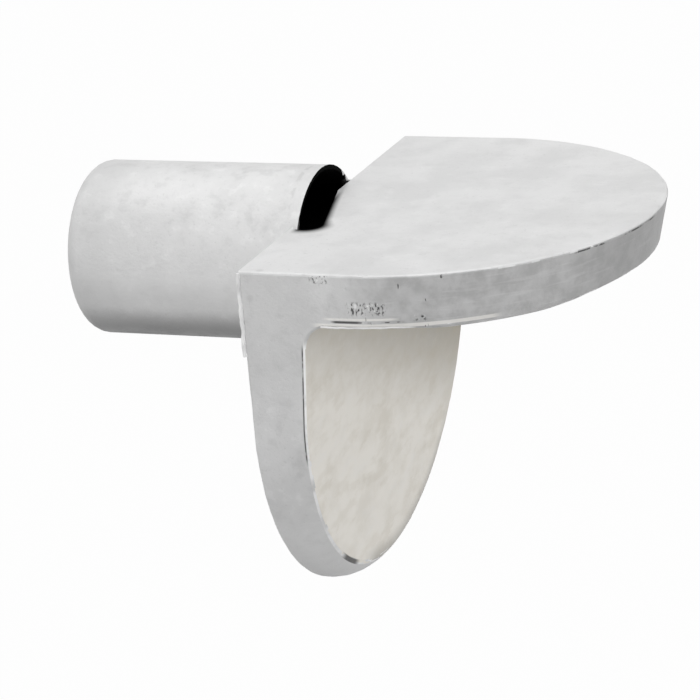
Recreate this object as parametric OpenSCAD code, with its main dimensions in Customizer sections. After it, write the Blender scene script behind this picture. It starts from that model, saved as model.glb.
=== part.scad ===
// Shelf support pin: one casting with a round pin, a shelf tongue and a hanging flange.
// Frame: origin on the pin's axis at the wall face of the flange, +X out of the wall, +Z up.

/* [Pin] */
// Diameter of the pin, the size of the shelf hole row it plugs into
pin_d = 5; // [4:0.1:6]
// Length of the pin from the wall face to its free end
pin_len = 7.2; // [5:0.1:12]
// Rounding of the rim of the pin's free end
pin_end_round = 0.45; // [0.2:0.05:1]

/* [Tongue] */
// Width of the casting across the tongue and the flange
body_w = 13; // [11:0.1:18]
// Reach of the tongue from the wall face to its tip
tongue_len = 9.6; // [8:0.1:14]
// Length of the tongue's straight sides, before its half-ellipse nose
tongue_side = 2.9; // [2.7:0.1:4]
// Height of the tongue's flat top above the pin's axis
tongue_rise = 1.6; // [1.2:0.05:1.9]
// Thickness of the tongue at the wall face
tongue_root_t = 1.48; // [1.3:0.01:2.1]
// Thickness of the tongue at its tip
tongue_tip_t = 1.34; // [0.9:0.01:1.6]
// Draft of the tongue's rim at its tip, which sets the lower edge back
tip_draft = 7; // [0:1:15]

/* [Flange] */
// Drop of the flange's wall face from the tongue's top to the lowest point
flange_drop = 10.9; // [9:0.1:15]
// Length of the flange's straight sides below the tongue's top
flange_side = 4.4; // [3.2:0.1:5]
// Thickness of the flange at the tongue's top
flange_root_t = 1.85; // [1.4:0.01:2]
// Thickness of the flange at its lowest point
flange_tip_t = 1.08; // [0.6:0.01:1.4]
// Draft of the flange's rim, which rises from the wall face to the front
rim_draft = 24; // [5:1:30]
// Radius of the inside corner between the tongue and the flange
inside_fillet = 0.7; // [0.3:0.05:0.8]

/* [Root recess] */
// Width of the oblong well at the pin's root
well_w = 0.85; // [0.7:0.05:1.2]
// Distance between the centres of the well's round ends
well_run = 4.1; // [3.2:0.1:4.4]
// Middle of the well along the wall, from the pin's axis
well_shift = -0.45; // [-0.6:0.05:0.6]
// Middle of the well out of the wall face
well_out = -0.11; // [-0.15:0.01:0.05]
// Turn of the well seen from above
well_turn = 14; // [6:1:15]
// Depth of the well below the tongue's top
well_depth = 0.8; // [0.4:0.05:1]
// Set-back of the pin's exposed root edge from the wall face
edge_back = 0.1; // [0.05:0.01:0.2]
// Thickness of the pin's rim at the mouth of the hollow
mouth_rim = 0.08; // [0.05:0.01:0.2]
// Depth of the tapered hollow behind the pin's root edge
hollow_depth = 1.6; // [0.8:0.1:2.4]
// Radius of the hollow at its far end
hollow_end_r = 1.9; // [1.7:0.05:2.1]

/* [Hidden] */
$fn = 96;
metal = "silver";
// Reach of the cutting shapes past the faces that they cut
past = 1;
// Extra width of the noses' ellipses, so that they meet the flat sides in clean edges
nose_flare = 0.06;
pin_r = pin_d / 2;
// Slope of the tongue's underside and of the flange's front face
under_angle = atan((tongue_root_t - tongue_tip_t) / tongue_len);
front_angle = atan((flange_root_t - flange_tip_t) / flange_drop);
// Directions along the underside and down the front face, as [x, z]
under_dir = [cos(under_angle), sin(under_angle)];
front_dir = [-sin(front_angle), -cos(front_angle)];
// Inside corner where the two faces would meet without the fillet
corner_x = (flange_root_t - tongue_root_t * tan(front_angle)) / (1 - tan(under_angle) * tan(front_angle));
corner = [corner_x, under_z(corner_x)];
fillet_angle = 90 + under_angle + front_angle;
fillet_run = inside_fillet / tan(fillet_angle / 2);
fillet_middle = corner + (under_dir + front_dir) / norm(under_dir + front_dir)
    * inside_fillet / sin(fillet_angle / 2);
well_floor = tongue_rise - well_depth;

// Height of the tongue's underside at a distance out of the wall
function under_z(x) = tongue_rise - tongue_root_t + x * tan(under_angle);

// Distance of the flange's front face from the wall at a height
function front_x(z) = flange_root_t - (tongue_rise - z) * tan(front_angle);

// Half-ellipse nose of width w along +X, on a straight part of width side_w
module nose_outline(reach, side, w, side_w) {
    translate([0, -side_w / 2]) square([side, side_w]);
    intersection() {
        translate([side, 0]) scale([reach - side, w / 2]) circle(r = 1);
        translate([side - past, -w]) square([reach + past, 2 * w]);
    }
}

// Side profile of the tongue, tapered towards its tip, with the inside fillet
module tongue_profile() {
    far = tongue_len + past;
    polygon([[0, tongue_rise], [0, under_z(0)], [far, under_z(far)], [far, tongue_rise]]);
    difference() {
        polygon([
            corner - (under_dir + front_dir) * tongue_tip_t / 2,
            corner + under_dir * fillet_run,
            fillet_middle,
            corner + front_dir * fillet_run
        ]);
        translate(fillet_middle) circle(r = inside_fillet);
    }
}

// Side profile of the flange, a wedge that thins downwards
module flange_profile() {
    high = tongue_rise - tongue_tip_t / 2;
    low = tongue_rise - flange_drop - past;
    polygon([[0, high], [0, low], [front_x(low), low], [front_x(high), high]]);
}

// Column in the shape of the tongue's nose seen from above, wider than the plate beside its straight sides.
// The outline is drawn square to the drafted rim, so that its trace on the flat top has the stated reach
module tongue_column() {
    square_to_rim = cos(tip_draft);
    translate([0, 0, tongue_rise]) rotate([0, tip_draft, 0])
        translate([0, 0, -2 * flange_drop]) linear_extrude(height = 3 * flange_drop)
            translate([-flange_drop, 0])
                nose_outline(
                    tongue_len * square_to_rim + flange_drop,
                    tongue_side * square_to_rim + flange_drop,
                    body_w + nose_flare,
                    body_w + 4 * past
                );
}

// Bar in the shape of the flange's nose seen from the wall, and the room in front of it for the tongue.
// The outline is drawn square to the drafted rim, so that its trace on the wall face has the stated drop
module flange_bar() {
    square_to_rim = cos(rim_draft);
    translate([0, 0, tongue_rise]) rotate([0, 90 - rim_draft, 0])
        translate([-past, 0, -flange_drop]) linear_extrude(height = 2 * flange_drop)
            nose_outline(
                flange_drop * square_to_rim + past,
                flange_side * square_to_rim + past,
                body_w + nose_flare,
                body_w + 4 * past
            );
    translate([flange_root_t, -body_w, -tongue_rise]) cube([tongue_len, 2 * body_w, 3 * tongue_rise]);
}

// Tongue and flange in one bent plate, with one side profile across its whole width
module plate() {
    intersection() {
        rotate([90, 0, 0]) linear_extrude(height = body_w, center = true) {
            tongue_profile();
            flange_profile();
        }
        tongue_column();
        flange_bar();
    }
}

// Round pin with a rounded free end, running out along -X from the wall face.
// Above the tongue's top its root edge stands back from the wall face
module pin() {
    difference() {
        rotate([0, -90, 0]) rotate_extrude() {
            square([pin_r, pin_len - pin_end_round]);
            square([pin_r - pin_end_round, pin_len]);
            translate([pin_r - pin_end_round, pin_len - pin_end_round])
                intersection() {
                    circle(r = pin_end_round);
                    square(pin_end_round);
                }
        }
        translate([-edge_back, -pin_d, tongue_rise]) cube([past, 2 * pin_d, pin_d]);
    }
}

// Oblong well in the tongue's back edge, open upwards, and the tapered hollow behind the pin's root edge
module root_recess() {
    well_h = pin_r - well_floor + past;
    intersection() {
        translate([well_out, well_shift, well_floor]) rotate([0, 0, well_turn]) {
            for (end = [-1, 1])
                translate([0, end * well_run / 2, 0]) cylinder(d = well_w, h = well_h);
            translate([-well_w / 2, -well_run / 2, 0]) cube([well_w, well_run, well_h]);
        }
        translate([-edge_back, -body_w, -body_w]) cube([tongue_len, 2 * body_w, 2 * body_w]);
    }
    intersection() {
        rotate([0, -90, 0])
            cylinder(h = hollow_depth, r1 = pin_r - mouth_rim, r2 = hollow_end_r);
        translate([-pin_len, -pin_r, well_floor]) cube([pin_len, pin_d, pin_d]);
    }
}

module shelf_pin() {
    color(metal)
        difference() {
            union() {
                plate();
                pin();
            }
            root_recess();
        }
}

shelf_pin();
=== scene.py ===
"""Looks of a cast shelf support pin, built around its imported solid, in metres."""
import math
from types import SimpleNamespace

import bmesh
import bpy
import numpy as np
from mathutils import Matrix, Vector, noise


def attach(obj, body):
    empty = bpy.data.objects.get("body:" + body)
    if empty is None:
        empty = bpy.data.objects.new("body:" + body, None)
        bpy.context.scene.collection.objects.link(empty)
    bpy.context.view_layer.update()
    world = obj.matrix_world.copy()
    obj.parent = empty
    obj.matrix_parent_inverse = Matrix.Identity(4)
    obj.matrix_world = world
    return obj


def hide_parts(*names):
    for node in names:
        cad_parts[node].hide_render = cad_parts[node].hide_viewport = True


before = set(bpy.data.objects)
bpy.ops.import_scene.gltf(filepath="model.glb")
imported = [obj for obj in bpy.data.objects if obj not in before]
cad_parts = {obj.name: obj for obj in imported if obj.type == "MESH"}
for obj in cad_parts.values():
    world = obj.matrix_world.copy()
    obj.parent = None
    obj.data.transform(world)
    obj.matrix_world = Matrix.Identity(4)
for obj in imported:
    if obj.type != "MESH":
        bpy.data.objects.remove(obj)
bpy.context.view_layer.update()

# Sizes of the casting, in millimetres, as in the part's source
MM = 0.001
PIN_R = 2.5
BODY_W = 13.0
TONGUE_RISE = 1.6
TONGUE_LEN = 9.6
TONGUE_SIDE = 2.9
TONGUE_ROOT_T = 1.48
TONGUE_TIP_T = 1.34
TIP_DRAFT = math.radians(7)
FLANGE_DROP = 10.9
FLANGE_SIDE = 4.4
RIM_DRAFT = math.radians(24)
NOSE_FLARE = 0.06
FLANGE_ROOT_T = 1.85
FLANGE_TIP_T = 1.08
UNDER_SLOPE = (TONGUE_ROOT_T - TONGUE_TIP_T) / TONGUE_LEN
FRONT_SLOPE = (FLANGE_ROOT_T - FLANGE_TIP_T) / FLANGE_DROP
# Distance of the flange's front from the wall, at the height of the pin's axis
FRONT_AT_AXIS = FLANGE_ROOT_T - TONGUE_RISE * FRONT_SLOPE

# Oblong well and tapered hollow at the pin's root
WELL_W = 0.85
WELL_RUN = 4.1
WELL_SHIFT = -0.45
WELL_OUT = -0.11
WELL_TURN = math.radians(14)
WELL_FLOOR = TONGUE_RISE - 0.8
EDGE_BACK = 0.1
MOUTH_RIM = 0.08
HOLLOW_DEPTH = 1.6

# Camera of the photograph: place in millimetres, axes, and focal length in picture widths
CAMERA_AT = Vector((30.836, -74.02, 24.948))
CAMERA_RIGHT = Vector((0.93178, 0.35338, -0.08312))
CAMERA_UP = Vector((-0.0434, 0.33577, 0.94094))
CAMERA_BACK = Vector((0.36042, -0.87314, 0.3282))
FOCAL_WIDTHS = 2985.0 / 700.0
SENSOR_MM = 36.0

# Cleaning of the solid's mesh, in millimetres: welding, plane cuts, and faces taken as flat
WELD_DIST = 1e-4
CUT_DIST = 1e-5
FLAT_ANGLE = math.radians(0.5)

# Cuts across the rim of a nose: degrees between them, start of the nose as a share of its reach,
# largest tilt of a rim face, least share of the ellipse for a corner to be laid on it
NOSE_STEP = 2
NOSE_START = 0.02
RIM_TILT = 0.6
ON_ELLIPSE = 0.95
SIDE_CLEAR = 0.001

# Broken outer edges, in millimetres: width of the break, length of its facets, distance from the recess
EDGE_BREAK = 0.07
EDGE_STEP = 0.22
EDGE_SEGMENTS = 3
RECESS_CLEAR = 3 * EDGE_BREAK
SHARP_ANGLE = math.radians(32)
# Wear of the broken edges: depth, coarse and fine noise per millimetre, share of the fine one
EDGE_WEAR = 0.03
WEAR_COARSE = 1.7
WEAR_FINE = 5.1
WEAR_FINE_SHARE = 0.6

# Tumbled rim of the flange, in millimetres: swell, top of the zone, heights where it starts and is full
RIM_SWELL = 0.16
RIM_TOP = -2.5
RIM_SHARES = (0.2, 0.4, 0.6, 0.8)
SWELL_SHARES = (0.1, 0.9)
SWELL_SPAN = (-3, -8)
# Tumbled lower edge of the tongue, in millimetres: sag and set-back, each with its span out of the wall
EDGE_SAG = 0.1
SAG_IN = (4, 5.5)
SAG_OUT = (9.2, 7.5)
TIP_WEAR = 0.14
TIP_SPAN = (7.5, 9.4)

# Beads of flash: noise that bends and swells them, thinned ends, sides, and their share of the pale worn
# edges, which are partly painted highlights
FLASH_NOISE_SCALE = 2.2
FLASH_NOISE_DETAIL = 3.0
FLASH_TAPER = 0.12
FLASH_END = 0.25
FLASH_SWELL_FROM = (0.35, 0.65)
FLASH_SWELL_TO = (0.35, 1.3)
FLASH_SIDES = 8
FLASH_MARK = 0.6

# Floor in metres and its looks, and the light of the room
FLOOR_HALF = 2.0
FLOOR_Z = -0.03
FLOOR_GREY = 0.16
FLOOR_WHITE = 0.985
ROOM_LIGHT = 0.33
# Soft lamps: name, place and size in metres, power in watts
LAMPS = (
    ("top_softbox", (-0.02, 0.03, 0.25), 0.25, 0.44),
    ("left_fill", (-0.1, -0.26, 0.03), 0.2, 0.42),
    ("right_low_fill", (0.26, -0.02, -0.02), 0.12, 0.43),
)


def new_object(name, data):
    made = bpy.data.objects.new(name, data)
    bpy.context.scene.collection.objects.link(made)
    return made


def under_z(x):
    """Height of the tongue's underside at a distance out of the wall."""
    return TONGUE_RISE - TONGUE_ROOT_T + x * UNDER_SLOPE


def recess_distance(points):
    """Distance to the well and the hollow at the pin's root, below zero inside them."""
    x, y, z = points.T
    turn_c, turn_s = math.cos(WELL_TURN), math.sin(WELL_TURN)
    across = (x - WELL_OUT) * turn_c + (y - WELL_SHIFT) * turn_s
    along = -(x - WELL_OUT) * turn_s + (y - WELL_SHIFT) * turn_c
    beyond = np.maximum(np.abs(along) - WELL_RUN / 2, 0)
    well = np.hypot(across, beyond) - WELL_W / 2
    well = np.maximum(well, np.maximum(WELL_FLOOR - z, -EDGE_BACK - x))
    hollow = np.maximum(np.hypot(y, z) - PIN_R + MOUTH_RIM, np.maximum(WELL_FLOOR - z, x))
    hollow = np.maximum(hollow, -HOLLOW_DEPTH - x)
    return np.minimum(well, hollow)


def is_outer(edge):
    """A convex outer edge, clear of the recess."""
    if not edge.is_manifold or edge.calc_face_angle_signed(0) < SHARP_ANGLE:
        return False
    ends = np.array([vert.co for vert in edge.verts])
    return recess_distance(ends).min() > RECESS_CLEAR


def soft_step(low, high, value):
    """Rises smoothly from 0 at low to 1 at high; falls where low is above high."""
    share = min(1.0, max(0.0, (value - low) / (high - low)))
    return share * share * (3 - 2 * share)


def cut_faces(work, faces, point, normal):
    """Cuts some faces by a plane, with no part taken away."""
    parts = {part for face in faces for part in (*face.edges, *face.verts)}
    bmesh.ops.bisect_plane(work, geom=faces + list(parts), dist=CUT_DIST, plane_co=point, plane_no=normal)


def shape_nose(work, base, out, thick, draft, reach):
    """Cuts the rim of a nose into fine strips and lays their corners on the true half ellipse."""
    half = (BODY_W + NOSE_FLARE) / 2
    lean = thick - out * math.tan(draft)

    def placed(point):
        middle = base + lean * (point - base).dot(thick)
        return middle, (point - middle).dot(out) / reach, point.y / half

    def strips():
        return [face for face in work.faces if abs(face.normal.dot(thick)) < RIM_TILT
                and all(placed(vert.co)[1] > NOSE_START for vert in face.verts)]

    def turns(face):
        return [math.degrees(math.atan2(vert.co.y, placed(vert.co)[1] * reach)) for vert in face.verts]

    taken = {turn for face in strips() for turn in turns(face)}
    for turn in range(NOSE_STEP - 90, 90, NOSE_STEP):
        if min(abs(turn - other) for other in taken) < NOSE_STEP / 4:
            continue
        angle = math.radians(turn)
        toward = out * math.cos(angle) + Vector((0, 1, 0)) * math.sin(angle)
        cut_faces(work, strips(), base, toward.cross(lean).normalized())
    for vert in {vert for face in strips() for vert in face.verts}:
        middle, ahead, aside = placed(vert.co)
        size = math.hypot(ahead, aside)
        if abs(vert.co.y) < BODY_W / 2 - SIDE_CLEAR and size > ON_ELLIPSE:
            vert.co = middle + out * (reach * ahead / size) + Vector((0, half * aside / size, 0))


def tumble_rims(work):
    """Rounds the flange's rim across its thickness and eases the tongue's lower edge."""
    for share in RIM_SHARES:
        strips = [face for face in work.faces if max(vert.co.z for vert in face.verts) < RIM_TOP]
        cut_faces(work, strips, (share * FRONT_AT_AXIS, 0, 0), (1, 0, -share * FRONT_SLOPE))
    out, down = Vector((1, 0, 0)), Vector((0, 0, -1))
    tongue_base = Vector((TONGUE_SIDE, 0, TONGUE_RISE))
    shape_nose(work, tongue_base, out, down, TIP_DRAFT, TONGUE_LEN - TONGUE_SIDE)
    flange_base = Vector((0, 0, TONGUE_RISE - FLANGE_SIDE))
    shape_nose(work, flange_base, down, out, RIM_DRAFT, FLANGE_DROP - FLANGE_SIDE)
    work.normal_update()
    for vert in work.verts:
        share = vert.co.x / (FRONT_AT_AXIS + vert.co.z * FRONT_SLOPE)
        if vert.co.z < RIM_TOP and SWELL_SHARES[0] < share < SWELL_SHARES[1]:
            swell = RIM_SWELL * 4 * share * (1 - share)
            vert.co += vert.normal * swell * soft_step(*SWELL_SPAN, vert.co.z)
    for vert in work.verts:
        x, z = vert.co.x, vert.co.z
        if x > SAG_IN[0] and z < TONGUE_RISE - TONGUE_TIP_T / 2:
            vert.co.z -= EDGE_SAG * soft_step(*SAG_IN, x) * soft_step(*SAG_OUT, x)
            vert.co.x -= TIP_WEAR * soft_step(*TIP_SPAN, x)


def worn_casting(node):
    """The solid's mesh in millimetres, with tumbled rims and its outer edges broken and worn."""
    mesh = node.data.copy()
    mesh.transform(Matrix.Scale(1 / MM, 4))
    work = bmesh.new()
    work.from_mesh(mesh)
    bmesh.ops.remove_doubles(work, verts=work.verts, dist=WELD_DIST)
    bmesh.ops.dissolve_limit(work, angle_limit=FLAT_ANGLE, verts=work.verts, edges=work.edges)
    tumble_rims(work)
    for edge in [e for e in work.edges if is_outer(e)]:
        pieces = int(edge.calc_length() / EDGE_STEP)
        if pieces > 1:
            bmesh.ops.bisect_edges(work, edges=[edge], cuts=pieces - 1)
    outer = [e for e in work.edges if is_outer(e)]
    ends = list({vert for edge in outer for vert in edge.verts})
    broken = bmesh.ops.bevel(work, geom=outer + ends, offset=EDGE_BREAK, offset_type="OFFSET",
                             segments=EDGE_SEGMENTS, profile=0.5, affect="EDGES", clamp_overlap=True)
    facets = set(broken["faces"])
    work.normal_update()
    for vert in {v for face in facets for v in face.verts if facets.issuperset(v.link_faces)}:
        low = noise.noise(vert.co * WEAR_COARSE) + WEAR_FINE_SHARE * noise.noise(vert.co * WEAR_FINE)
        vert.co -= vert.normal * EDGE_WEAR * max(0.0, low)
    for edge in work.edges:
        kinds = {face in facets for face in edge.link_faces}
        edge.smooth = len(kinds) == 1 and edge.calc_face_angle(0) < SHARP_ANGLE
    mark = work.faces.layers.float.new("edge")
    for face in work.faces:
        face.smooth = True
        face[mark] = float(face in facets)
    bmesh.ops.triangulate(work, faces=[f for f in work.faces if len(f.verts) > 4])
    work.to_mesh(mesh)
    work.free()
    return mesh


def mark_faces(mesh):
    """Marks the faces of the recess, the flange's front and the outer rims for the finish."""
    close = 0.02
    front_reach = (0.5, 2.8)
    fillet_low = -1
    flange_tip_reach, flange_tip_top = 2, -5
    # Limits of a face's normal: facing out of the wall, on the fillet out and sideways, upright
    square_out, fillet_out, fillet_aside, upright = 0.9, 0.2, 0.3, 0.5
    flat = np.zeros(len(mesh.polygons) * 3)
    mesh.polygons.foreach_get("center", flat)
    centres = flat.reshape(-1, 3).copy()
    mesh.polygons.foreach_get("normal", flat)
    out, aside, up = flat.reshape(-1, 3).T
    x, _, z = centres.T
    hidden = recess_distance(centres) < close
    on_fillet = (out > fillet_out) & (z > fillet_low) & (np.abs(aside) < fillet_aside)
    front = ((out > square_out) | on_fillet) & (x > front_reach[0]) & (x < front_reach[1])
    front &= z < under_z(x) + close
    rim = (np.abs(up) < upright) & (x > close) & ~front & ~hidden
    rim |= (x > close) & (x < flange_tip_reach) & (z < flange_tip_top) & ~front
    for name, mask in (("recess", hidden), ("front", front), ("rim", rim)):
        layer = mesh.attributes.new(name, "FLOAT", "FACE")
        layer.data.foreach_set("value", mask.astype(np.float32))


def make_casting(node):
    mesh = worn_casting(node)
    mark_faces(mesh)
    mesh.transform(Matrix.Scale(MM, 4))
    return new_object("casting", mesh)


def ridge_tree(material):
    """Geometry nodes that sweep an uneven bead of flash along a path, thinned out at both ends."""
    tree = bpy.data.node_groups.new("flash_ridge", "GeometryNodeTree")
    tree.interface.new_socket("Geometry", in_out="INPUT", socket_type="NodeSocketGeometry")
    for name, start in (("Step", 0.05), ("Radius", 0.05), ("Unevenness", 0.05), ("Seed", 0.0)):
        socket = tree.interface.new_socket(name, in_out="INPUT", socket_type="NodeSocketFloat")
        socket.default_value = start
    tree.interface.new_socket("Geometry", in_out="OUTPUT", socket_type="NodeSocketGeometry")

    def add(kind, **values):
        made = tree.nodes.new(kind)
        for key, value in values.items():
            setattr(made, key, value)
        return made

    def join(start, end):
        tree.links.new(start, end)

    source = add("NodeGroupInput")
    curve = add("GeometryNodeMeshToCurve")
    even = add("GeometryNodeResampleCurve", mode="LENGTH")
    join(source.outputs["Geometry"], curve.inputs["Mesh"])
    join(curve.outputs["Curve"], even.inputs["Curve"])
    join(source.outputs["Step"], even.inputs["Length"])
    wander = add("ShaderNodeTexNoise", noise_dimensions="4D")
    wander.inputs["Scale"].default_value = FLASH_NOISE_SCALE
    wander.inputs["Detail"].default_value = FLASH_NOISE_DETAIL
    join(source.outputs["Seed"], wander.inputs["W"])
    centred = add("ShaderNodeVectorMath", operation="SUBTRACT")
    centred.inputs[1].default_value = (0.5, 0.5, 0.5)
    join(wander.outputs["Color"], centred.inputs[0])
    shift = add("ShaderNodeVectorMath", operation="SCALE")
    join(centred.outputs["Vector"], shift.inputs[0])
    join(source.outputs["Unevenness"], shift.inputs["Scale"])
    moved = add("GeometryNodeSetPosition")
    join(even.outputs["Curve"], moved.inputs["Geometry"])
    join(shift.outputs["Vector"], moved.inputs["Offset"])
    along = add("GeometryNodeSplineParameter")
    ends = add("ShaderNodeMath", operation="PINGPONG")
    ends.inputs[1].default_value = 0.5
    join(along.outputs["Factor"], ends.inputs[0])
    taper = add("ShaderNodeMapRange")
    taper.inputs["From Max"].default_value = FLASH_TAPER
    taper.inputs["To Min"].default_value = FLASH_END
    join(ends.outputs[0], taper.inputs["Value"])
    swell = add("ShaderNodeMapRange")
    swell.inputs["From Min"].default_value, swell.inputs["From Max"].default_value = FLASH_SWELL_FROM
    swell.inputs["To Min"].default_value, swell.inputs["To Max"].default_value = FLASH_SWELL_TO
    join(wander.outputs["Fac"], swell.inputs["Value"])
    width = add("ShaderNodeMath", operation="MULTIPLY")
    join(taper.outputs["Result"], width.inputs[0])
    join(swell.outputs["Result"], width.inputs[1])
    sized = add("GeometryNodeSetCurveRadius")
    join(moved.outputs["Geometry"], sized.inputs["Curve"])
    join(width.outputs[0], sized.inputs["Radius"])
    bead = add("GeometryNodeCurvePrimitiveCircle")
    bead.inputs["Resolution"].default_value = FLASH_SIDES
    join(source.outputs["Radius"], bead.inputs["Radius"])
    swept = add("GeometryNodeCurveToMesh")
    swept.inputs["Fill Caps"].default_value = True
    join(sized.outputs["Curve"], swept.inputs["Curve"])
    join(bead.outputs["Curve"], swept.inputs["Profile Curve"])
    real = add("GeometryNodeRealizeInstances")
    join(swept.outputs["Mesh"], real.inputs["Geometry"])
    coated = add("GeometryNodeSetMaterial")
    coated.inputs["Material"].default_value = material
    join(real.outputs["Geometry"], coated.inputs["Geometry"])
    result = add("NodeGroupOutput")
    join(coated.outputs["Geometry"], result.inputs["Geometry"])
    return tree


def flash_ridge(name, path, tree, material, **sizes):
    """One bead of flash along a path in millimetres."""
    line = bpy.data.meshes.new(name)
    line.from_pydata(path, [(i, i + 1) for i in range(len(path) - 1)], [])
    holder = new_object(name + "_path", line)
    sweep = holder.modifiers.new("sweep", "NODES")
    sweep.node_group = tree
    items = tree.interface.items_tree
    sockets = {item.name: item.identifier for item in items if item.in_out == "INPUT"}
    for key, value in sizes.items():
        sweep[sockets[key]] = value
    bpy.context.view_layer.update()
    evaluated = holder.evaluated_get(bpy.context.evaluated_depsgraph_get())
    mesh = bpy.data.meshes.new_from_object(evaluated)
    bpy.data.objects.remove(holder)
    bpy.data.meshes.remove(line)
    mesh.transform(Matrix.Scale(MM, 4))
    shell = bmesh.new()
    shell.from_mesh(mesh)
    bmesh.ops.recalc_face_normals(shell, faces=shell.faces)
    shell.to_mesh(mesh)
    shell.free()
    count = len(mesh.polygons)
    mesh.polygons.foreach_set("use_smooth", np.ones(count, dtype=bool))
    layer = mesh.attributes.new("edge", "FLOAT", "FACE")
    layer.data.foreach_set("value", np.full(count, FLASH_MARK, dtype=np.float32))
    mesh.materials.clear()
    mesh.materials.append(material)
    return new_object(name, mesh)


def flange_back_edge(steps, gap):
    """Points down the flange's near edge at the wall, in millimetres, from just under the tongue's top."""
    behind, inset, start = -0.01, 0.02, 0.06
    return [(behind, -BODY_W / 2 + inset, TONGUE_RISE - start - gap * i) for i in range(steps)]


def tongue_low_edge(first, last, steps):
    """Points along the tongue's lower near edge, between two distances out of the wall."""
    points = []
    for i in range(steps + 1):
        x = first + (last - first) * i / steps
        drop = TONGUE_ROOT_T - x * UNDER_SLOPE
        past = max(0.0, x + drop * math.tan(TIP_DRAFT) - TONGUE_SIDE) / (TONGUE_LEN - TONGUE_SIDE)
        points.append((x, -BODY_W / 2 * math.sqrt(1 - past * past), TONGUE_RISE - drop))
    return points


def put(tree, kind, **values):
    """Adds a shader node and sets its properties and input values by name."""
    made = tree.nodes.new(kind)
    for key, value in values.items():
        if hasattr(made, key):
            setattr(made, key, value)
        else:
            made.inputs[key.replace("_", " ")].default_value = value
    return made


def feed(tree, socket, value):
    """Links a socket's value, or sets it where it is a plain number."""
    if isinstance(value, bpy.types.NodeSocket):
        tree.links.new(value, socket)
    else:
        socket.default_value = value


def calc(tree, operation, *values):
    made = put(tree, "ShaderNodeMath", operation=operation)
    for socket, value in zip(made.inputs, values):
        feed(tree, socket, value)
    return made.outputs[0]


def ramp(tree, value, start, end, first=0.0, last=1.0, kind="LINEAR"):
    """Runs from first, where the value is at start, to last, where it is at end."""
    made = put(tree, "ShaderNodeMapRange", interpolation_type=kind)
    feed(tree, made.inputs["Value"], value)
    sides = ("From Min", start), ("From Max", end), ("To Min", first), ("To Max", last)
    for name, side in sides:
        made.inputs[name].default_value = side
    return made.outputs["Result"]


def step(tree, value, low, high):
    """Rises smoothly from 0 at low to 1 at high; falls where low is above high."""
    return ramp(tree, value, low, high, kind="SMOOTHSTEP")


def band(tree, value, low, high, soft):
    """One between low and high, fading out over a soft margin."""
    rise = step(tree, value, low - soft, low)
    fall = step(tree, value, high + soft, high)
    return calc(tree, "MULTIPLY", rise, fall)


def every(tree, *masks):
    total = masks[0]
    for mask in masks[1:]:
        total = calc(tree, "MULTIPLY", total, mask)
    return total


def either(tree, *masks):
    total = masks[0]
    for mask in masks[1:]:
        total = calc(tree, "MAXIMUM", total, mask)
    return total


def lay(tree, mask, under, over):
    """Lays a colour over another where the mask is one."""
    mix = put(tree, "ShaderNodeMix", data_type="RGBA")
    feed(tree, mix.inputs[0], mask)
    feed(tree, mix.inputs[6], under)
    feed(tree, mix.inputs[7], over)
    return mix.outputs[2]


def tint(tree, under, over, strength, *masks):
    """Lays a colour over another at a strength, where all the masks are one."""
    return lay(tree, every(tree, *masks, strength), under, over)


def cloud(tree, where, scale, detail=4.0, roughness=0.55):
    """Noise with a number of patches per millimetre."""
    made = put(tree, "ShaderNodeTexNoise", Scale=scale, Detail=detail, Roughness=roughness)
    tree.links.new(where, made.inputs["Vector"])
    return made.outputs["Fac"]


def stretched(tree, where, factors):
    made = put(tree, "ShaderNodeVectorMath", operation="MULTIPLY")
    tree.links.new(where, made.inputs[0])
    made.inputs[1].default_value = factors
    return made.outputs["Vector"]


def attribute(tree, name):
    return put(tree, "ShaderNodeAttribute", attribute_name=name).outputs["Fac"]


def axes(tree, vector):
    split = put(tree, "ShaderNodeSeparateXYZ")
    tree.links.new(vector, split.inputs["Vector"])
    return split.outputs["X"], split.outputs["Y"], split.outputs["Z"]


def grey(level, warmth=0.0):
    return (level, level * (1 - warmth / 3), level * (1 - warmth), 1)


def well_gap(tree, where):
    """Distance from the well's middle line, seen from above, in millimetres."""
    turned = put(tree, "ShaderNodeMapping", vector_type="TEXTURE")
    turned.inputs["Location"].default_value = (WELL_OUT, WELL_SHIFT, 0)
    turned.inputs["Rotation"].default_value = (0, 0, WELL_TURN)
    tree.links.new(where, turned.inputs["Vector"])
    sideways, lengthways, _ = axes(tree, turned.outputs["Vector"])
    along = calc(tree, "ABSOLUTE", lengthways)
    beyond = calc(tree, "MAXIMUM", calc(tree, "SUBTRACT", along, WELL_RUN / 2), 0.0)
    across = calc(tree, "POWER", calc(tree, "ABSOLUTE", sideways), 2.0)
    return calc(tree, "SQRT", calc(tree, "ADD", across, calc(tree, "POWER", beyond, 2.0)))


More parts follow.
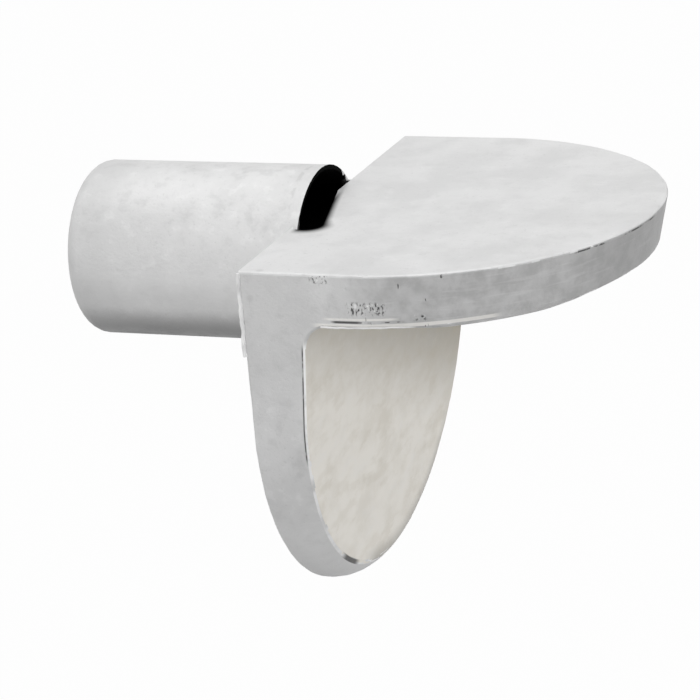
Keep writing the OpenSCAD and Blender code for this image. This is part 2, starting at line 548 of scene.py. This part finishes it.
def surface_readings(tree):
    """What the finish goes by: the place in millimetres, the marks of the faces, and shared noise."""
    at = SimpleNamespace()
    scaled = put(tree, "ShaderNodeVectorMath", operation="SCALE", Scale=1 / MM)
    tree.links.new(put(tree, "ShaderNodeTexCoord").outputs["Object"], scaled.inputs[0])
    at.where = scaled.outputs["Vector"]
    at.x, at.y, at.z = axes(tree, at.where)
    for name in ("edge", "front", "rim", "recess"):
        setattr(at, name, attribute(tree, name))
    at.clouds = cloud(tree, at.where, 0.55, 3.0)
    at.mottle = cloud(tree, at.where, 2.2, 5.0, 0.6)
    at.grain = cloud(tree, at.where, 11.0, 6.0, 0.65)
    # Patches where the broken edges are pale, partly wear and partly painted highlight
    at.wear = step(tree, cloud(tree, at.where, 1.6, 3.0), 0.3, 0.55)
    at.broken = step(tree, cloud(tree, at.where, 3.0, 2.0), 0.46, 0.54)
    # Near side, height above the tongue's underside, distance behind the flange's front
    at.near = step(tree, at.y, 0.0, -0.5)
    at.under = calc(tree, "SUBTRACT", at.z, calc(tree, "MULTIPLY_ADD", at.x, UNDER_SLOPE, under_z(0)))
    front_x = calc(tree, "MULTIPLY_ADD", at.z, FRONT_SLOPE, FRONT_AT_AXIS)
    at.to_front = calc(tree, "SUBTRACT", front_x, at.x)
    # Share of the ellipse that bounds the flange's front, squared: one at its rim
    nose_top = -2.3
    fallen = calc(tree, "DIVIDE", calc(tree, "SUBTRACT", nose_top, at.z), FLANGE_DROP - FLANGE_SIDE)
    aside = calc(tree, "DIVIDE", at.y, BODY_W / 2)
    at.outward = calc(tree, "ADD", calc(tree, "MULTIPLY", fallen, fallen),
                      calc(tree, "MULTIPLY", aside, aside))
    return at


# In the finish, places are limits in millimetres, tones are linear levels and strengths run from 0 to 1
def plain_tone(tree, at):
    """Cloudy grey of the raw casting, calmer on the flat top, with fine grain and a few dull spots."""
    tone = lay(tree, step(tree, at.clouds, 0.35, 0.65), grey(0.66), grey(0.72))
    on_top = every(tree, step(tree, at.z, TONGUE_RISE - 0.03, TONGUE_RISE - 0.01),
                   step(tree, at.x, -0.02, 0.02))
    contrast, calmer = 0.5, -0.3
    cloudy = calc(tree, "MULTIPLY_ADD", on_top, calmer, contrast)
    tone = lay(tree, every(tree, step(tree, at.mottle, 0.5, 0.32), cloudy), tone, grey(0.57))
    tone = lay(tree, every(tree, step(tree, at.mottle, 0.55, 0.7), cloudy), tone, grey(0.8))
    tone = tint(tree, tone, grey(0.48), 0.35, step(tree, at.grain, 0.42, 0.3))
    spots = put(tree, "ShaderNodeTexVoronoi", Scale=0.8)
    tree.links.new(at.where, spots.inputs["Vector"])
    spot = step(tree, spots.outputs["Distance"], 0.12, 0.03)
    return tint(tree, tone, grey(0.42), 0.35, spot, step(tree, at.clouds, 0.45, 0.6))


def shaded_tone(tree, at, tone):
    """Adds painted shade on the tongue's rim and tip, the pin's painted light band and painted shade on
    its underside, a darker pin end, the flange's paler lower rim and painted shade on its rim under the
    tongue.
    """
    # Painted shade on the tongue's rim, darker from part way out of the wall
    tongue_rim = every(tree, at.rim, step(tree, at.x, 2.2, 4.6))
    rim_shade = lay(tree, step(tree, at.mottle, 0.35, 0.65), grey(0.4), grey(0.52))
    tone = tint(tree, tone, rim_shade, 0.8, tongue_rim)
    streak = cloud(tree, stretched(tree, at.where, (0.7, 0.7, 9.0)), 1.0, 3.0)
    tone = tint(tree, tone, grey(0.75), 0.25, tongue_rim, step(tree, streak, 0.52, 0.7))
    # Painted light and shade on the pin: a lighter band just below its axis and a darker underside
    on_pin = step(tree, at.x, -0.03, -0.08)
    pin_lit_band = band(tree, at.z, -0.9, -0.2, 0.7)
    pin_underside_shade = step(tree, at.z, -1.0, -1.85)
    pin_end = step(tree, at.x, -4.8, -7.1)
    tone = tint(tree, tone, grey(0.82), 0.5, on_pin, pin_lit_band)
    tone = tint(tree, tone, grey(0.3), 0.85, on_pin, pin_underside_shade)
    tone = tint(tree, tone, grey(0.5), 0.4, pin_end)
    flange_low = step(tree, at.z, -4.0, -8.0)
    tone = tint(tree, tone, grey(0.86), 0.6, at.rim, flange_low)
    # Painted shade on the flange's rim near the wall, under the tongue
    flange_shade_under_tongue = every(tree, step(tree, at.x, 2.6, 1.6), step(tree, at.z, -3.0, -0.5))
    tone = tint(tree, tone, grey(0.55), 0.35, at.rim, flange_shade_under_tongue)
    # Painted shade on the rim at the tongue's tip
    tongue_tip_shade = step(tree, at.x, 7.8, 9.3)
    return tint(tree, tone, grey(0.36), 0.4, at.rim, tongue_tip_shade)


def front_tone(tree, at):
    """Warm grey of the flange's front with painted shade under the tongue and towards its far upper
    corner, painted lighter downwards, painted shade along its far lower edge, and soft flecks.
    """
    far_side_shade = 0.43
    # Painted shade: dark under the tongue and towards the far upper corner, painted lighter downwards
    height = step(tree, calc(tree, "MULTIPLY_ADD", at.y, far_side_shade, at.z), -0.6, -5.2)
    warm = lay(tree, height, grey(0.34, 0.22), grey(0.98, 0.1))
    veil = cloud(tree, stretched(tree, at.where, (1.0, 0.6, 0.9)), 1.0, 5.0, 0.65)
    warm = tint(tree, warm, grey(0.56, 0.3), 0.2, step(tree, veil, 0.6, 0.35))
    fleck = cloud(tree, stretched(tree, at.where, (1.0, 0.4, 1.0)), 1.9, 4.0, 0.6)
    warm = tint(tree, warm, grey(0.5, 0.4), 0.12, step(tree, fleck, 0.5, 0.36))
    warm = tint(tree, warm, grey(0.95, 0.05), 0.2, step(tree, fleck, 0.54, 0.68), height)
    # Painted shade along the front's far lower edge
    far_lower_edge_shade = every(tree, step(tree, at.outward, 0.85, 1.0), step(tree, at.y, -2.4, -1.4),
                     step(tree, at.z, -6.0, -7.5))
    return tint(tree, warm, grey(0.4, 0.1), 0.6, far_lower_edge_shade)


def pale_flaws_and_highlights(tree, at, tone, pitted, pit_grain):
    """Adds bright specks among the pits, and pale lips along the near edges that are painted highlights,
    the one by the flange's front partly wear.
    """
    specks = step(tree, pit_grain, 0.6, 0.66)
    tone = tint(tree, tone, grey(0.95), 0.6, pitted, specks)
    # Painted highlights: pale lines along the tongue's near rim, at its lower edge and above the burr
    low_edge_highlight = every(tree, band(tree, at.x, 2.2, 6.5, 0.3), band(tree, at.under, 0.02, 0.1, 0.02))
    burr_top_highlight = every(tree, band(tree, at.x, 2.5, 4.1, 0.3), band(tree, at.under, 0.22, 0.25, 0.03))
    edge_highlights = every(tree, at.rim, at.near, either(tree, low_edge_highlight, burr_top_highlight))
    tone = tint(tree, tone, grey(0.9, 0.06), 0.7, edge_highlights)
    # Pale lip along the near edges by the flange's front, partly wear and partly a painted highlight
    below_fillet = step(tree, at.z, -0.2, -0.5)
    front_edge_wear_and_highlight = every(tree, at.near, either(tree, at.rim, at.edge), below_fillet, at.wear,
                      band(tree, at.to_front, -0.03, 0.05, 0.02))
    return tint(tree, tone, grey(1.0), 0.9, front_edge_wear_and_highlight)


def pit_zones(tree, at):
    """Places on the tongue's near rim where the casting is pitted, out of the wall and upwards."""
    low = every(tree, band(tree, at.x, 3.1, 3.9, 0.2), band(tree, at.under, 0.42, 0.62, 0.12))
    high = every(tree, band(tree, at.x, 2.1, 2.4, 0.15), band(tree, at.z, 1.4, 1.52, 0.08))
    far = every(tree, band(tree, at.x, 4.75, 4.95, 0.1), band(tree, at.under, 0.2, 0.3, 0.06))
    return every(tree, at.rim, at.near, either(tree, low, high, far))


def dark_flaws_and_burr_shadow(tree, at, pitted, pit_grain):
    """Mask of the burr's shadow, the torn lines beside the near edges, the pits and the dashes."""
    near_rim = every(tree, at.rim, at.near)
    # Painted shadow of the burr: a dark line along the tongue's near rim, broken further out
    burr_shadow = every(tree, band(tree, at.x, 2.65, 3.2, 0.2), band(tree, at.under, 0.14, 0.17, 0.03))
    burr_tail_shadow = every(tree, at.broken, band(tree, at.x, 2.9, 4.2, 0.3),
                      band(tree, at.under, 0.15, 0.16, 0.02))
    frayed = step(tree, cloud(tree, at.where, 1.6, 5.0, 0.75), 0.44, 0.54)
    top_line = every(tree, frayed, band(tree, at.x, 8.4, 9.5, 0.2), band(tree, at.z, 1.5, 1.53, 0.015))
    torn = step(tree, cloud(tree, at.where, 1.1, 4.0, 0.7), 0.32, 0.46)
    front_line = every(tree, torn, band(tree, at.z, -3.6, -0.6, 0.3),
                       band(tree, at.to_front, 0.07, 0.09, 0.015))
    dashes = cloud(tree, stretched(tree, at.where, (1.0, 1.0, 0.25)), 9.0, 2.0)
    dash = every(tree, band(tree, at.x, 2.6, 5.4, 0.3), step(tree, dashes, 0.29, 0.25))
    lines = every(tree, near_rim, either(tree, burr_shadow, burr_tail_shadow, top_line, front_line, dash))
    pits = every(tree, pitted, step(tree, pit_grain, 0.48, 0.41))
    tip_line = every(tree, step(tree, at.z, -7.0, -7.2), band(tree, at.to_front, -0.03, 0.06, 0.02),
                     band(tree, at.y, -3.7, -3.1, 0.4), step(tree, at.outward, 0.972, 0.984))
    return either(tree, lines, pits, tip_line)


def painted_recess_shade(tree, at):
    """Mask of the painted shade: the recess painted black, and a soft painted shadow on the flat top
    around it.
    """
    above = every(tree, step(tree, at.z, TONGUE_RISE - 0.1, TONGUE_RISE - 0.06),
                  step(tree, at.x, 0.03, 0.25))
    gap = calc(tree, "SUBTRACT", well_gap(tree, at.where), WELL_W / 2)
    least_reach, near_end_more = 0.22, 0.2
    near_end = step(tree, at.y, -1.8, -2.6)
    reach = calc(tree, "MULTIPLY_ADD", near_end, near_end_more, least_reach)
    shadow_around_well = every(tree, above, step(tree, calc(tree, "DIVIDE", gap, reach), 1.0, -0.1))
    notch = every(tree, step(tree, at.y, -1.85, -2.0), step(tree, at.x, 0.2, 0.1))
    end_wall = every(tree, step(tree, at.y, -1.9, -2.4),
                     step(tree, at.z, WELL_FLOOR + 0.03, WELL_FLOOR + 0.3))
    far_rim = every(tree, step(tree, at.y, 1.65, 1.85), step(tree, at.x, -0.3, -0.1))
    # The recess's near end, end wall and far rim get a lighter painted shade
    lighter_shade = -0.6
    shade_strength = calc(tree, "MULTIPLY_ADD", either(tree, notch, end_wall, far_rim), lighter_shade, 1.0)
    return either(tree, every(tree, at.recess, shade_strength), shadow_around_well)


def cast_metal():
    """Raw tumbled casting: cloudy grey metal with pale worn edges partly painted as highlights, small
    flaws, painted shade and light on its faces, and a recess painted black as shade.
    """
    material = bpy.data.materials.new("raw_casting")
    material.use_nodes = True
    tree = material.node_tree
    tree.nodes.clear()
    out = put(tree, "ShaderNodeOutputMaterial")
    metal = put(tree, "ShaderNodeBsdfPrincipled")
    metal.inputs["Specular IOR Level"].default_value = 0.25
    tree.links.new(metal.outputs["BSDF"], out.inputs["Surface"])
    at = surface_readings(tree)
    tone = shaded_tone(tree, at, plain_tone(tree, at))
    tone = tint(tree, tone, front_tone(tree, at), 0.95, at.front)
    # Broken edges laid pale: partly wear, partly a painted highlight where they catch the light
    tone = lay(tree, every(tree, at.edge, at.wear), tone, grey(1.0))

    pit_grain = cloud(tree, stretched(tree, at.where, (1.0, 1.0, 0.6)), 12.0, 3.0, 0.6)
    pitted = pit_zones(tree, at)
    tone = pale_flaws_and_highlights(tree, at, tone, pitted, pit_grain)
    pin_ring = every(tree, band(tree, at.x, -0.52, -0.46, 0.06), step(tree, at.z, 1.5, 2.1), at.broken)
    tone = tint(tree, tone, grey(0.4), 0.3, pin_ring)
    dark = dark_flaws_and_burr_shadow(tree, at, pitted, pit_grain)
    tone = tint(tree, tone, grey(0.04), 0.9, dark)
    # Painted shade: the recess is painted black, with a soft painted shadow on the flat top around it
    recess_shade = painted_recess_shade(tree, at)
    tone = lay(tree, recess_shade, tone, grey(0.002))
    tree.links.new(tone, metal.inputs["Base Color"])

    # The recess, painted black as shade, is fully metallic and rough, so that it shows no sheen
    plain_metallic = 0.12
    tree.links.new(ramp(tree, recess_shade, 0.0, 1.0, plain_metallic, 1.0), metal.inputs["Metallic"])
    rough = ramp(tree, at.mottle, 0.3, 0.7, 0.46, 0.66)
    tree.links.new(either(tree, rough, recess_shade), metal.inputs["Roughness"])
    relief = calc(tree, "ADD", calc(tree, "MULTIPLY", at.mottle, 0.6),
                  calc(tree, "MULTIPLY", at.grain, 0.4))
    relief = calc(tree, "SUBTRACT", relief, calc(tree, "MULTIPLY", dark, 0.8))
    bump = put(tree, "ShaderNodeBump", Strength=0.35, Distance=0.00008)
    tree.links.new(relief, bump.inputs["Height"])
    tree.links.new(bump.outputs["Normal"], metal.inputs["Normal"])
    return material


def make_camera():
    view = bpy.data.cameras.new("photo_camera")
    view.sensor_width = SENSOR_MM
    view.lens = FOCAL_WIDTHS * SENSOR_MM
    view.clip_start = 0.001
    view.clip_end = 20.0
    camera = new_object("photo_camera", view)
    turned = Matrix((CAMERA_RIGHT, CAMERA_UP, CAMERA_BACK)).transposed().to_4x4()
    camera.matrix_world = Matrix.Translation(CAMERA_AT * MM) @ turned
    bpy.context.scene.camera = camera


def shown_white(tree, plain, white, most):
    """Mixes a plain shader with a white one for camera, mirror and see-through rays."""
    seen = put(tree, "ShaderNodeLightPath")
    straight = either(tree, seen.outputs["Is Camera Ray"], seen.outputs["Is Glossy Ray"],
                      seen.outputs["Is Transmission Ray"])
    mix = put(tree, "ShaderNodeMixShader")
    tree.links.new(calc(tree, "MULTIPLY", straight, most), mix.inputs["Fac"])
    tree.links.new(plain.outputs[0], mix.inputs[1])
    tree.links.new(white.outputs[0], mix.inputs[2])
    return mix.outputs[0]


def make_floor():
    mesh = bpy.data.meshes.new("floor")
    signs = ((-1, -1), (1, -1), (1, 1), (-1, 1))
    corners = [(FLOOR_HALF * side_x, FLOOR_HALF * side_y, FLOOR_Z) for side_x, side_y in signs]
    mesh.from_pydata(corners, [], [(0, 1, 2, 3)])
    floor = new_object("floor", mesh)
    paper = bpy.data.materials.new("white_paper")
    paper.use_nodes = True
    tree = paper.node_tree
    tree.nodes.clear()
    out = put(tree, "ShaderNodeOutputMaterial")
    matt = put(tree, "ShaderNodeBsdfDiffuse", Color=grey(FLOOR_GREY))
    glow = put(tree, "ShaderNodeEmission", Strength=1.0)
    tree.links.new(shown_white(tree, matt, glow, FLOOR_WHITE), out.inputs["Surface"])
    floor.data.materials.append(paper)


def add_lamp(name, place, size, power):
    """A round soft lamp that faces the origin."""
    lamp = bpy.data.lights.new(name, "AREA")
    lamp.shape = "DISK"
    lamp.size = size
    lamp.energy = power
    holder = new_object(name, lamp)
    holder.location = place
    holder.rotation_euler = (-Vector(place)).to_track_quat("-Z", "Y").to_euler()


def make_light():
    world = bpy.data.worlds.new("studio")
    bpy.context.scene.world = world
    world.use_nodes = True
    tree = world.node_tree
    tree.nodes.clear()
    out = put(tree, "ShaderNodeOutputWorld")
    room = put(tree, "ShaderNodeBackground", Color=grey(1), Strength=ROOM_LIGHT)
    white = put(tree, "ShaderNodeBackground", Color=grey(1), Strength=1.0)
    tree.links.new(shown_white(tree, room, white, 1.0), out.inputs["Surface"])
    for lamp in LAMPS:
        add_lamp(*lamp)
    bpy.context.scene.view_settings.view_transform = "Standard"


finish = cast_metal()
casting = make_casting(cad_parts["shelf_pin"])
casting.data.materials.clear()
casting.data.materials.append(finish)
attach(casting, "root")
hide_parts("shelf_pin")

ridges = ridge_tree(finish)
flashes = [
    flash_ridge("flange_flash", flange_back_edge(steps=24, gap=0.1), ridges, finish,
                Radius=0.065, Unevenness=0.16, Seed=3.0),
    flash_ridge("tongue_flash", tongue_low_edge(first=2.2, last=5.6, steps=34), ridges, finish,
                Radius=0.028, Unevenness=0.07, Seed=7.0),
]
for flash in flashes:
    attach(flash, "root")
make_camera()
make_floor()
make_light()
